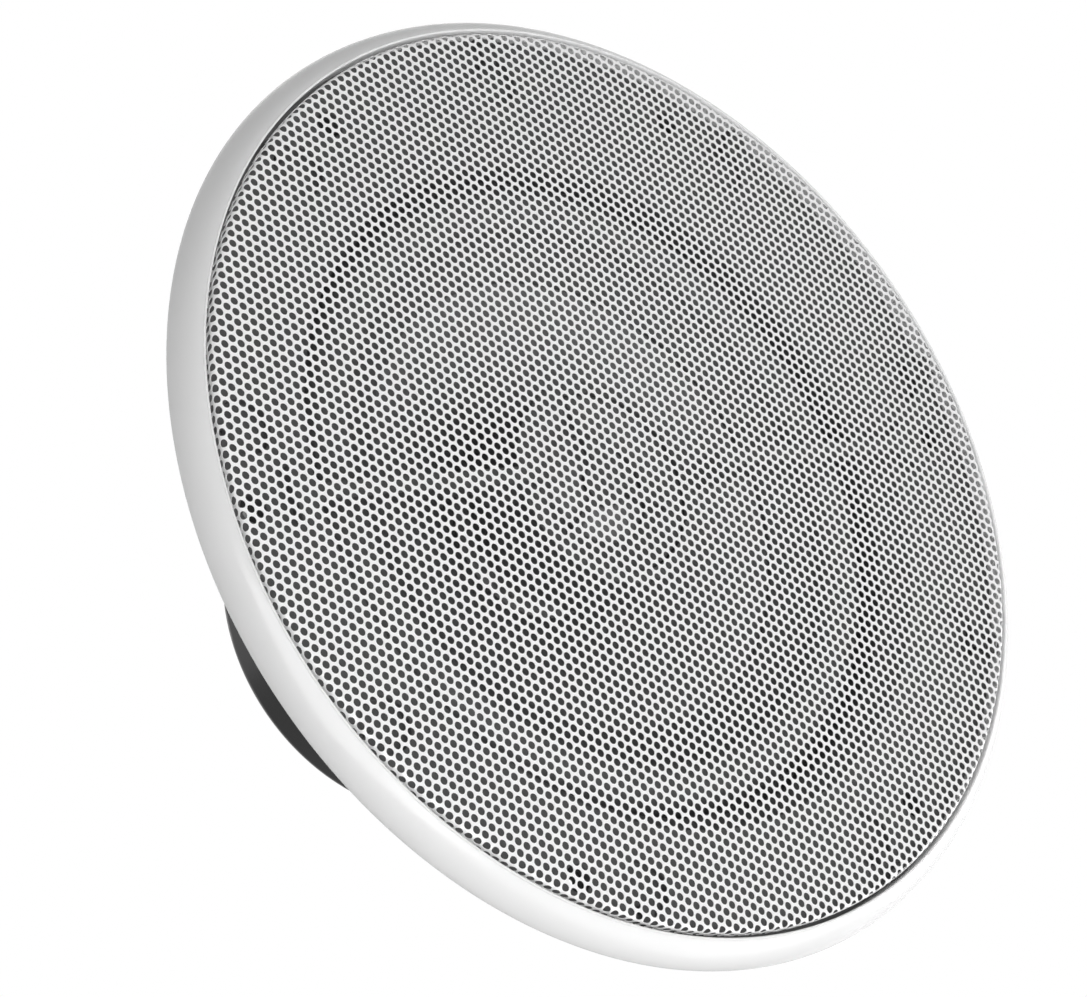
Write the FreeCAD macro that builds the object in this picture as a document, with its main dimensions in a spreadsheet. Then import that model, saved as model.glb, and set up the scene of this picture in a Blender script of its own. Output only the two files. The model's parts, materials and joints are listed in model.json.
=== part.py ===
import FreeCAD, Part
import math
import os
from types import SimpleNamespace

import Sketcher

# A round flush-mount marine speaker. Its axis runs along Y: the grille faces -Y, the motor points to +Y.
# The origin is the centre of the panel seat, so y = 0 is the panel's face. All sizes are in millimetres.
# "rise" is a distance in front of the panel, "depth" a distance behind it, and angles run from +X to +Z.

SIZES = {
    # Trim ring: white moulded ring round the grille
    "ring_radius": 92.5,
    "ring_rise": 7.15,
    "ring_face_width": 3.8,
    "ring_face_radius": 7.25,
    "ring_lip_width": 0.5,
    "ring_lip_step": 0.6,
    "ring_edge_rise": 1.3,
    "ring_back_inset": 1.3,
    "ring_foot": 2.2,
    "clip_count": 9,
    "clip_angle": -8.2,
    "clip_width": 2.6,
    "clip_arm": 0.8,
    "clip_leg": 1.2,
    "clip_clearance": 0.2,
    "rest_width": 4.0,
    "rest_reach": 1.2,
    # Grille: domed sheet with a rolled edge and rows of holes set half a pitch apart
    "grille_rise": 8.0,
    "grille_sag": 1.0,
    "grille_sheet": 0.6,
    "grille_gap": 0.7,
    "grille_roll": 0.9,
    "grille_skirt": 0.9,
    "hole_pitch": 13.4,
    "hole_radius": 4.3,
    "hole_margin": 1.6,
    "hole_row_angle": -13.8,
    # Basket: moulded frame with a front flange, ribs and a rear plate
    "flange_rise": 3.0,
    "flange_gap": 0.8,
    "flange_width": 21.0,
    "gasket_thickness": 0.8,
    "mount_hole_radius": 2.5,
    "mount_inset": 8.0,
    "mount_count": 6,
    "mount_angle": 22.2,
    "recess_radius": 5.0,
    "recess_inset": 9.8,
    "recess_depth": 1.5,
    "throat_wall": 4.2,
    "throat_flare": 3.7,
    "throat_depth": 2.0,
    "shelf_depth": 8.3,
    "shelf_width": 3.8,
    "shelf_thickness": 2.2,
    "waist_radius": 42.5,
    "waist_depth": 35.0,
    "basket_wall": 2.5,
    "spider_shelf_depth": 35.5,
    "spider_shelf_width": 4.5,
    "spider_shelf_thickness": 2.0,
    "rear_plate_depth": 41.5,
    "rear_plate_thickness": 3.0,
    "rear_plate_bore": 20.0,
    "window_count": 12,
    "window_inner_margin": 2.0,
    "window_outer_margin": 8.7,
    "window_span": 17.0,
    "window_fillet": 2.0,
    "basket_fillet": 1.5,
    # Moving cone and its suspension
    "cone_inset": 12.0,
    "cone_depth": 8.6,
    "cone_neck_depth": 30.5,
    "cone_thickness": 0.6,
    "glue_gap": 0.1,
    "running_gap": 0.4,
    "surround_thickness": 0.8,
    "surround_roll_width": 9.2,
    "surround_roll_height": 4.3,
    "surround_land": 7.3,
    "cap_radius": 17.0,
    "cap_height": 4.5,
    "cap_thickness": 0.5,
    "spider_thickness": 0.6,
    "spider_ridge": 1.0,
    "spider_ridge_count": 5,
    "former_radius": 13.0,
    "former_thickness": 0.25,
    "former_front_depth": 28.5,
    "former_tail": 0.3,
    "coil_length": 10.0,
    "coil_thickness": 0.55,
    # Motor
    "plate_radius": 37.0,
    "top_plate_thickness": 5.0,
    "magnet_radius": 38.5,
    "magnet_bore": 17.0,
    "magnet_length": 16.5,
    "back_plate_thickness": 6.0,
    "pole_gap": 0.55,
    "coil_gap": 0.6,
    "cover_clearance": 0.3,
    "cover_wall": 2.2,
    "cover_fillet": 2.0,
    "rivet_count": 4,
    "rivet_circle_radius": 28.0,
    "rivet_radius": 2.0,
    "rivet_head_radius": 3.6,
    "rivet_head_height": 1.4,
    "rivet_clearance": 0.1,
    # Tweeter and the bridge that carries it across the cone
    "bridge_angle": 21.2,
    "bridge_width": 3.0,
    "bridge_rise": 5.0,
    "bridge_back_rise": 0.5,
    "bridge_foot_inset": 15.5,
    "bridge_foot_width": 10.0,
    "bridge_flare": 6.0,
    "pod_radius": 20.0,
    "pod_wall": 2.2,
    "pod_depth": 2.5,
    "pod_length": 14.5,
    "face_step": 0.8,
    "face_thickness": 3.6,
    "face_throat_radius": 10.8,
    "face_edge": 1.0,
    "face_fit": 0.2,
    "diffuser_radius": 4.4,
    "diffuser_thickness": 1.0,
    "diffuser_arm_width": 1.4,
    "diffuser_arm_count": 3,
    "dome_radius": 9.5,
    "dome_height": 2.6,
    "dome_thickness": 0.3,
    "dome_edge_radius": 13.4,
    "tweeter_coil_length": 3.0,
    "tweeter_coil_thickness": 0.35,
    "tweeter_gap": 0.4,
    "tweeter_cup_wall": 3.0,
    "tweeter_cup_floor": 2.0,
    "tweeter_plate_drop": 0.9,
    "tweeter_plate_thickness": 1.6,
    "tweeter_magnet_length": 3.0,
    "tweeter_magnet_inset": 0.5,
    # Electrical pieces on the back of the basket
    "terminal_angle": 90.0,
    "block_width": 24.0,
    "block_waist_gap": 6.5,
    "block_height": 6.0,
    "block_inset": 2.5,
    "tab_length": 8.0,
    "tab_thickness": 0.8,
    "tab_wide": 6.3,
    "tab_narrow": 4.8,
    "tab_spacing": 12.0,
    "tab_chamfer": 1.0,
    "tab_hole_radius": 0.9,
    "lead_radius": 0.6,
    "lead_bend_radius": 28.2,
    "lead_sweep": 61.8,
    "lead_center_inset": 2.0,
    "lead_clearance": 1.5,
    "capacitor_angle": 150.0,
    "capacitor_radius": 5.0,
    "capacitor_length": 16.0,
    "capacitor_inset": 12.5,
}

doc = FreeCAD.newDocument("marine_speaker")
sheet = doc.addObject("Spreadsheet::Sheet", "Sizes")
for row, (alias, number) in enumerate(SIZES.items(), start=1):
    sheet.set(f"A{row}", alias)
    sheet.set(f"B{row}", str(number))
    sheet.setAlias(f"B{row}", alias)
doc.recompute()


class Size:
    """A number together with the sheet expression that gives it."""

    def __init__(self, value, text):
        self.value = value
        self.text = text

    def join(self, other, sign, value):
        return Size(value, f"({self.text} {sign} {plain(other).text})")

    def __add__(self, other):
        return self.join(other, "+", self.value + plain(other).value)

    def __sub__(self, other):
        return self.join(other, "-", self.value - plain(other).value)

    def __mul__(self, other):
        return self.join(other, "*", self.value * plain(other).value)

    def __truediv__(self, other):
        return self.join(other, "/", self.value / plain(other).value)

    def __neg__(self):
        return Size(-self.value, f"(0 - {self.text})")


def plain(number):
    return number if isinstance(number, Size) else Size(float(number), repr(float(number)))


def cosine(angle):
    return Size(math.cos(math.radians(angle.value)), f"cos({angle.text} * 1 deg)")


def sine(angle):
    return Size(math.sin(math.radians(angle.value)), f"sin({angle.text} * 1 deg)")


def polar(radius, angle):
    return radius * cosine(angle), radius * sine(angle)


def root(size):
    return Size(math.sqrt(size.value), f"sqrt({size.text})")


def arc_radius(half_width, height):
    """The radius of an arc that spans twice the half width and rises by the height."""
    return (half_width * half_width + height * height) / (height * 2)


s = SimpleNamespace(**{alias: Size(number, f"Sizes.{alias}") for alias, number in SIZES.items()})


def bind(obj, prop, size):
    obj.setExpression(prop, plain(size).text)


def new_body(name):
    return doc.addObject("PartDesign::Body", name)


def new_sketch(body, name, plane, rise=0):
    """A sketch on one of the body's own planes. On XZ_Plane its x and y are X and Z, and rise moves it to -Y."""
    sketch = body.newObject("Sketcher::SketchObject", name)
    support = next(f for f in body.Origin.OriginFeatures if f.Role == plane)
    sketch.AttachmentSupport = [(support, "")]
    sketch.MapMode = "FlatFace"
    sketch.AttachmentOffset = FreeCAD.Placement(FreeCAD.Vector(0, 0, plain(rise).value), FreeCAD.Rotation())
    if isinstance(rise, Size):
        bind(sketch, "AttachmentOffset.Base.z", rise)
    return sketch


def fix(sketch, kind, *where, size):
    size = plain(size)
    index = sketch.addConstraint(Sketcher.Constraint(kind, *where, size.value))
    sketch.setExpression(f"Constraints[{index}]", size.text)


def place(sketch, geometry, point, x, y):
    fix(sketch, "DistanceX", -1, 1, geometry, point, size=x)
    fix(sketch, "DistanceY", -1, 1, geometry, point, size=y)


def draw_outline(sketch, corners):
    """A closed outline. A corner is (x, y), or (x, y, radius) where an arc leads to the next corner:
    a positive radius turns left on the way, a negative one turns right."""
    spots = [FreeCAD.Vector(plain(c[0]).value, plain(c[1]).value, 0) for c in corners]
    ends = []
    for i, corner in enumerate(corners):
        start, end = spots[i], spots[(i + 1) % len(spots)]
        if len(corner) == 2:
            ends.append((sketch.addGeometry(Part.LineSegment(start, end)), 1, 2))
            continue
        turn = math.copysign(1, corner[2].value)
        radius = abs(corner[2].value)
        chord = end - start
        side = FreeCAD.Vector(-chord.y, chord.x, 0).normalize() * turn
        center = (start + end) * 0.5 + side * math.sqrt(max(radius ** 2 - (chord.Length / 2) ** 2, 0))
        first, last = (start, end) if turn > 0 else (end, start)
        angles = [math.atan2(p.y - center.y, p.x - center.x) for p in (first, last)]
        circle = Part.Circle(center, FreeCAD.Vector(0, 0, 1), radius)
        arc = sketch.addGeometry(Part.ArcOfCircle(circle, angles[0], angles[1]))
        ends.append((arc, 1, 2) if turn > 0 else (arc, 2, 1))
        fix(sketch, "Radius", arc, size=corner[2] if turn > 0 else -corner[2])
    for i, (geometry, start, end) in enumerate(ends):
        following = ends[(i + 1) % len(ends)]
        sketch.addConstraint(Sketcher.Constraint("Coincident", geometry, end, following[0], following[1]))
        place(sketch, geometry, start, corners[i][0], corners[i][1])


def draw_circle(sketch, x, y, radius):
    spot = FreeCAD.Vector(plain(x).value, plain(y).value, 0)
    circle = sketch.addGeometry(Part.Circle(spot, FreeCAD.Vector(0, 0, 1), plain(radius).value))
    place(sketch, circle, 3, x, y)
    fix(sketch, "Radius", circle, size=radius)


def draw_axis(sketch, x):
    """A construction line along the sketch's y, to turn a profile about."""
    start = FreeCAD.Vector(x.value, 0, 0)
    line = sketch.addGeometry(Part.LineSegment(start, start + FreeCAD.Vector(0, 1, 0)), True)
    place(sketch, line, 1, x, plain(0))
    place(sketch, line, 2, x, plain(1))


def box_corners(x0, y0, x1, y1):
    return [(x0, y0), (x1, y0), (x1, y1), (x0, y1)]


def turn_outline(body, name, corners):
    """A solid of revolution about the speaker's axis. The outline's x is the radius and its y is Y."""
    sketch = new_sketch(body, name + "_profile", "XY_Plane")
    draw_outline(sketch, corners)
    turned = body.newObject("PartDesign::Revolution", name)
    turned.Profile = sketch
    turned.ReferenceAxis = (sketch, ["V_Axis"])
    turned.Angle = 360
    return turned


def turned_body(name, corners):
    body = new_body(name)
    turn_outline(body, name + "_turned", corners)
    return body


def cut_through(body, sketch, name):
    cut = body.newObject("PartDesign::Pocket", name)
    cut.Profile = sketch
    cut.Type = "ThroughAll"
    cut.Midplane = True
    return cut


def cut_down(body, sketch, name, depth):
    """A pocket from the sketch towards +Y."""
    cut = body.newObject("PartDesign::Pocket", name)
    cut.Profile = sketch
    cut.Length = plain(depth).value
    bind(cut, "Length", depth)
    return cut


def pad(body, sketch, name, length, to_rear=False, both_ways=False):
    grown = body.newObject("PartDesign::Pad", name)
    grown.Profile = sketch
    grown.Length = plain(length).value
    bind(grown, "Length", length)
    grown.Reversed = to_rear
    grown.Midplane = both_ways
    return grown


def repeat_round(body, features, name, count):
    axis = next(f for f in body.Origin.OriginFeatures if f.Role == "Y_Axis")
    pattern = body.newObject("PartDesign::PolarPattern", name)
    pattern.Originals = features
    pattern.Axis = (axis, [""])
    pattern.Angle = 360
    pattern.Occurrences = int(plain(count).value)
    bind(pattern, "Occurrences", count)
    body.Tip = pattern
    return pattern


def spin(obj, angle):
    """Turns a finished body about the speaker's axis, from +X towards +Z."""
    obj.Placement = FreeCAD.Placement(FreeCAD.Vector(), FreeCAD.Rotation(FreeCAD.Vector(0, -1, 0), angle.value))
    bind(obj, "Placement.Rotation.Angle", angle)


# Places that several pieces share
flange_front = -s.flange_rise
gasket_front = -s.gasket_thickness
lip_outer = s.ring_radius - s.ring_face_width
lip_radius = lip_outer - s.ring_lip_width
flange_radius = s.ring_radius - s.ring_foot - s.flange_gap
mount_circle_radius = flange_radius - s.mount_inset
recess_circle_radius = flange_radius - s.recess_inset
barrel_radius = flange_radius - s.flange_width
throat_radius = barrel_radius - s.throat_wall
throat_mouth = throat_radius + s.throat_flare
cone_radius = throat_radius - s.cone_inset
surround_land_radius = cone_radius - s.surround_land
rear_plate_back = s.rear_plate_depth + s.rear_plate_thickness
top_plate_back = rear_plate_back + s.top_plate_thickness
magnet_back = top_plate_back + s.magnet_length
yoke_back = magnet_back + s.back_plate_thickness
pole_radius = s.former_radius - s.former_thickness - s.pole_gap
coil_radius = s.former_radius + s.coil_thickness
plate_bore = coil_radius + s.coil_gap
coil_middle = rear_plate_back + s.top_plate_thickness / 2
coil_front = coil_middle - s.coil_length / 2
coil_back = coil_middle + s.coil_length / 2
cone_slope = (s.cone_neck_depth - s.cone_depth) / (cone_radius - s.former_radius)
cover_inner_radius = s.magnet_radius + s.cover_clearance
cover_radius = cover_inner_radius + s.cover_wall
grille_radius = lip_radius - s.grille_gap
grille_edge = s.grille_sag - s.grille_rise
skirt_end = grille_edge + s.grille_roll + s.grille_skirt
shelf_back = s.shelf_depth + s.shelf_thickness
wall_run = barrel_radius - s.waist_radius
wall_drop = s.waist_depth - shelf_back
wall_slant = root(wall_run * wall_run + wall_drop * wall_drop)
wall_width = s.basket_wall * wall_slant / wall_drop


def cone_front_at(radius):
    return s.cone_depth + (cone_radius - radius) * cone_slope


def wall_back_at(radius):
    """The depth of the ribbed wall's outer face."""
    return shelf_back + (barrel_radius - radius) * wall_drop / wall_run


def make_trim_ring():
    """A ring with a rounded face, a fine bead along its inner edge, snap legs and rests for the grille."""
    bead = s.ring_lip_width / 2
    lip_top = -s.ring_rise
    foot_inner = s.ring_radius - s.ring_foot
    body = new_body("trim_ring")
    turn_outline(body, "ring_section", [
        (lip_radius, flange_front),
        (lip_radius, lip_top + bead, bead),
        (lip_radius + bead, lip_top, bead),
        (lip_outer, lip_top + bead),
        (lip_outer, lip_top + s.ring_lip_step, s.ring_face_radius),
        (s.ring_radius, -s.ring_edge_rise),
        (s.ring_radius - s.ring_back_inset, plain(0)),
        (foot_inner, plain(0)),
        (foot_inner, flange_front),
    ])
    leg_outer = recess_circle_radius + s.recess_radius - s.clip_clearance * 3
    leg_inner = leg_outer - s.clip_leg
    half = s.clip_width / 2
    arm_sketch = new_sketch(body, "clip_arm_sketch", "XZ_Plane", s.flange_rise)
    draw_outline(arm_sketch, box_corners(leg_inner, -half, lip_outer, half))
    arm = pad(body, arm_sketch, "clip_arm", s.clip_arm)
    leg_sketch = new_sketch(body, "clip_leg_sketch", "XZ_Plane", s.flange_rise)
    draw_outline(leg_sketch, box_corners(leg_inner, -half, leg_outer, half))
    leg = pad(body, leg_sketch, "clip_leg", s.recess_depth - s.clip_clearance, to_rear=True)
    rest_sketch = new_sketch(body, "rest_sketch", "XZ_Plane", s.flange_rise)
    draw_outline(rest_sketch, box_corners(
        grille_radius - s.rest_reach, -s.rest_width / 2, lip_outer, s.rest_width / 2))
    rest = pad(body, rest_sketch, "rest", flange_front - skirt_end)
    repeat_round(body, [arm, leg, rest], "clips", s.clip_count)
    spin(body, s.clip_angle)


def make_grille():
    """A domed disc of sheet with its edge rolled back to a short skirt, pierced in staggered rows."""
    crown = -s.grille_rise
    flat_radius = grille_radius - s.grille_roll
    dome_radius = arc_radius(flat_radius, s.grille_sag)
    skirt_inner = grille_radius - s.grille_sheet
    roll_back = grille_edge + s.grille_roll
    body = new_body("grille")
    turn_outline(body, "grille_section", [
        (plain(0), crown, dome_radius),
        (flat_radius, grille_edge, s.grille_roll),
        (grille_radius, roll_back),
        (grille_radius, skirt_end),
        (skirt_inner, skirt_end),
        (skirt_inner, roll_back, -(s.grille_roll - s.grille_sheet)),
        (flat_radius, grille_edge + s.grille_sheet, -(dome_radius - s.grille_sheet)),
        (plain(0), crown + s.grille_sheet),
    ])
    holes = new_sketch(body, "hole_rows", "XZ_Plane")
    reach = flat_radius.value - s.hole_margin.value - s.hole_radius.value
    rows = int(reach / s.hole_pitch.value)
    for row in range(-rows, rows + 1):
        for place_in_row in range(-rows - 1, rows + 2):
            across = place_in_row + 0.5 * (row % 2)
            if math.hypot(across, row) * s.hole_pitch.value <= reach:
                draw_circle(holes, s.hole_pitch * across, s.hole_pitch * row, s.hole_radius)
    cut_through(body, holes, "perforation")
    spin(body, s.hole_row_angle)


def make_basket():
    """The moulded frame: flange, sloping throat, shelves for both suspensions, ribbed wall and rear plate."""
    back_of_flange = gasket_front
    shelf_inner = s.waist_radius - s.basket_wall - s.spider_shelf_width
    body = new_body("basket")
    turn_outline(body, "basket_section", [
        (throat_mouth, flange_front),
        (throat_radius, s.throat_depth),
        (throat_radius, s.shelf_depth),
        (throat_radius - s.shelf_width, s.shelf_depth),
        (throat_radius - s.shelf_width, shelf_back),
        (barrel_radius - wall_width, shelf_back),
        (s.waist_radius - wall_width, s.waist_depth),
        (s.waist_radius - wall_width, s.spider_shelf_depth),
        (shelf_inner, s.spider_shelf_depth),
        (shelf_inner, s.spider_shelf_depth + s.spider_shelf_thickness),
        (s.waist_radius - s.basket_wall, s.spider_shelf_depth + s.spider_shelf_thickness),
        (s.waist_radius - s.basket_wall, s.rear_plate_depth),
        (s.rear_plate_bore, s.rear_plate_depth),
        (s.rear_plate_bore, rear_plate_back),
        (s.waist_radius - s.basket_fillet, rear_plate_back, -s.basket_fillet),
        (s.waist_radius, rear_plate_back - s.basket_fillet),
        (s.waist_radius, s.waist_depth),
        (barrel_radius, shelf_back),
        (barrel_radius, back_of_flange),
        (flange_radius, back_of_flange),
        (flange_radius, flange_front),
    ])
    window_sketch = new_sketch(body, "window_sketch", "XZ_Plane")
    # The terminal block and the capacitor sit on ribs, so a window starts half a step to their side.
    middle = s.terminal_angle + plain(180) / s.window_count
    first, last = middle - s.window_span / 2, middle + s.window_span / 2
    low, high = s.waist_radius + s.window_inner_margin, barrel_radius - s.window_outer_margin
    corner = s.window_fillet
    low_turn = corner / low * math.degrees(1)
    high_turn = corner / high * math.degrees(1)
    draw_outline(window_sketch, [
        polar(low + corner, first),
        (*polar(high - corner, first), corner),
        (*polar(high, first + high_turn), high),
        (*polar(high, last - high_turn), corner),
        polar(high - corner, last),
        (*polar(low + corner, last), corner),
        (*polar(low, last - low_turn), -low),
        (*polar(low, first + low_turn), corner),
    ])
    window = cut_through(body, window_sketch, "window")
    repeat_round(body, [window], "windows", s.window_count)
    recess_sketch = new_sketch(body, "recess_sketch", "XZ_Plane", s.flange_rise)
    draw_circle(recess_sketch, *polar(recess_circle_radius, s.clip_angle), s.recess_radius)
    recess = cut_down(body, recess_sketch, "clip_recess", s.recess_depth)
    repeat_round(body, [recess], "clip_recesses", s.clip_count)
    mount_sketch = new_sketch(body, "mount_hole_sketch", "XZ_Plane")
    draw_circle(mount_sketch, *polar(mount_circle_radius, s.mount_angle), s.mount_hole_radius)
    mount = cut_through(body, mount_sketch, "mount_hole")
    repeat_round(body, [mount], "mount_holes", s.mount_count)
    rivet_sketch = new_sketch(body, "rivet_hole_sketch", "XZ_Plane")
    draw_circle(rivet_sketch, s.rivet_circle_radius, plain(0), s.rivet_radius + s.rivet_clearance)
    rivet = cut_through(body, rivet_sketch, "rivet_hole")
    repeat_round(body, [rivet], "rivet_holes", s.rivet_count)


def make_gasket():
    """A flat seal between the flange and the panel, pierced for the mounting screws."""
    body = turned_body("gasket", box_corners(
        barrel_radius + s.flange_gap, gasket_front, flange_radius, plain(0)))
    sketch = new_sketch(body, "gasket_hole_sketch", "XZ_Plane")
    draw_circle(sketch, *polar(mount_circle_radius, s.mount_angle), s.mount_hole_radius)
    hole = cut_through(body, sketch, "gasket_hole")
    repeat_round(body, [hole], "gasket_holes", s.mount_count)


def make_surround():
    """A half-roll of rubber from the basket's front shelf to a wide land on the cone."""
    back = s.shelf_depth
    front = back - s.surround_thickness
    roll_outer = throat_radius - s.shelf_width + s.surround_thickness
    roll_inner = roll_outer - s.surround_roll_width
    outer_arc = arc_radius(s.surround_roll_width / 2, s.surround_roll_height)
    inner_arc = arc_radius(
        s.surround_roll_width / 2 - s.surround_thickness, s.surround_roll_height - s.surround_thickness)
    rise_to_cone = s.running_gap + s.surround_thickness
    outer_edge = throat_radius - s.running_gap
    turned_body("surround", [
        (outer_edge, back),
        (outer_edge, front),
        (roll_outer, front, -outer_arc),
        (roll_inner, front),
        (surround_land_radius, cone_front_at(surround_land_radius) - rise_to_cone),
        (surround_land_radius, cone_front_at(surround_land_radius) - s.running_gap),
        (roll_inner + s.surround_thickness, front, inner_arc),
        (roll_outer - s.surround_thickness, front),
        (roll_outer - s.surround_thickness, back),
    ])


def make_cone():
    """A thin straight-sided cone, its neck bonded round the coil former."""
    neck = s.former_radius + s.glue_gap
    turned_body("cone", [
        (cone_radius, s.cone_depth),
        (cone_radius, s.cone_depth + s.cone_thickness),
        (neck, cone_front_at(neck) + s.cone_thickness),
        (neck, cone_front_at(neck)),
    ])


def make_dust_cap():
    """A shallow dome bonded to the cone round the neck."""
    rim = cone_front_at(s.cap_radius) - s.glue_gap - s.cap_thickness
    dome = arc_radius(s.cap_radius, s.cap_height)
    turned_body("dust_cap", [
        (plain(0), rim - s.cap_height, dome),
        (s.cap_radius, rim),
        (s.cap_radius, rim + s.cap_thickness, -dome),
        (plain(0), rim - s.cap_height + s.cap_thickness),
    ])


def make_spider():
    """The rear suspension: a thin ring with ridges between the former and the rear shelf."""
    base = s.spider_shelf_depth - s.spider_thickness
    inner = s.former_radius + s.running_gap
    outer = s.waist_radius - wall_width - s.running_gap
    land = s.waist_radius - s.basket_wall - s.spider_shelf_width
    pitch = (land - inner) / (s.spider_ridge_count + 0.5)
    ridges = int(s.spider_ridge_count.value)
    front = [(inner, base)]
    for ridge in range(ridges):
        front.append((inner + pitch * (ridge + 0.75), base - s.spider_ridge))
        front.append((inner + pitch * (ridge + 1.25), base))
    front.append((outer, base))
    back = [(radius, depth + s.spider_thickness) for radius, depth in reversed(front)]
    turned_body("spider", front + back)


def make_coil():
    """The former and the winding that hang in the motor's gap."""
    turned_body("coil_former", box_corners(
        s.former_radius - s.former_thickness, s.former_front_depth,
        s.former_radius, coil_back + s.former_tail))
    turned_body("voice_coil", box_corners(s.former_radius, coil_front, coil_radius, coil_back))


def make_motor():
    """Two steel plates with the ring magnet between them, and the pole through the middle."""
    body = turned_body("top_plate", box_corners(plate_bore, rear_plate_back, s.plate_radius, top_plate_back))
    sketch = new_sketch(body, "plate_hole_sketch", "XZ_Plane")
    draw_circle(sketch, s.rivet_circle_radius, plain(0), s.rivet_radius + s.rivet_clearance)
    hole = cut_through(body, sketch, "plate_hole")
    repeat_round(body, [hole], "plate_holes", s.rivet_count)
    turned_body("magnet", box_corners(s.magnet_bore, top_plate_back, s.magnet_radius, magnet_back))
    turned_body("back_plate", [
        (plain(0), rear_plate_back),
        (pole_radius, rear_plate_back),
        (pole_radius, magnet_back),
        (s.plate_radius, magnet_back),
        (s.plate_radius, yoke_back),
        (plain(0), yoke_back),
    ])


def make_magnet_cover():
    """A smooth cup over the motor with a rounded rear edge."""
    back = yoke_back + s.cover_wall
    front = rear_plate_back + s.glue_gap
    turned_body("magnet_cover", [
        (cover_inner_radius, front),
        (cover_inner_radius, yoke_back),
        (plain(0), yoke_back),
        (plain(0), back),
        (cover_radius - s.cover_fillet, back, -s.cover_fillet),
        (cover_radius, back - s.cover_fillet),
        (cover_radius, front),
    ])


def make_rivets():
    """Rivets that hold the basket's rear plate to the motor's top plate."""
    body = new_body("motor_rivets")
    sketch = new_sketch(body, "rivet_profile", "XY_Plane")
    axis = s.rivet_circle_radius
    draw_outline(sketch, [
        (axis, s.rear_plate_depth - s.rivet_head_height),
        (axis + s.rivet_head_radius, s.rear_plate_depth - s.rivet_head_height),
        (axis + s.rivet_head_radius, s.rear_plate_depth),
        (axis + s.rivet_radius, s.rear_plate_depth),
        (axis + s.rivet_radius, top_plate_back),
        (axis, top_plate_back),
    ])
    draw_axis(sketch, axis)
    turned = body.newObject("PartDesign::Revolution", "rivet_turned")
    turned.Profile = sketch
    turned.ReferenceAxis = (sketch, ["Axis0"])
    turned.Angle = 360
    repeat_round(body, [turned], "rivet_ring", s.rivet_count)


def make_tweeter_bridge():
    """Two thin arms from the flange to a round pod on the axis, with flared feet on the flange."""
    pod_back = s.pod_depth + s.pod_length
    foot_radius = flange_radius - s.bridge_foot_inset
    inner = s.pod_radius - s.pod_wall
    body = new_body("tweeter_bridge")
    turn_outline(body, "pod", [
        (s.pod_radius, s.pod_depth),
        (s.pod_radius, pod_back),
        (plain(0), pod_back),
        (plain(0), pod_back - s.pod_wall),
        (inner, pod_back - s.pod_wall),
        (inner, s.pod_depth),
    ])
    arm_sketch = new_sketch(body, "arm_sketch", "XY_Plane")
    root_radius = s.pod_radius - s.pod_wall / 2
    draw_outline(arm_sketch, [
        (root_radius, s.pod_depth),
        (s.pod_radius + s.pod_wall, -s.bridge_rise),
        (foot_radius, -s.bridge_rise),
        (foot_radius, flange_front),
        (throat_mouth, flange_front),
        (throat_radius, -s.bridge_back_rise),
        (s.pod_radius + s.pod_length, -s.bridge_back_rise),
        (s.pod_radius + s.pod_wall, s.pod_depth + s.pod_length / 2),
        (root_radius, s.pod_depth + s.pod_length / 2),
    ])
    arm = pad(body, arm_sketch, "arm", s.bridge_width, both_ways=True)
    foot_sketch = new_sketch(body, "foot_sketch", "XZ_Plane", s.flange_rise)
    slim, wide = s.bridge_width / 2, s.bridge_foot_width / 2
    heel = foot_radius - s.bridge_flare
    draw_outline(foot_sketch, [
        (heel, -slim),
        (foot_radius, -wide),
        (foot_radius, wide),
        (heel, slim),
    ])
    foot = pad(body, foot_sketch, "foot", s.bridge_rise - s.flange_rise)
    repeat_round(body, [arm, foot], "arms", plain(2))
    spin(body, s.bridge_angle)


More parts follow.
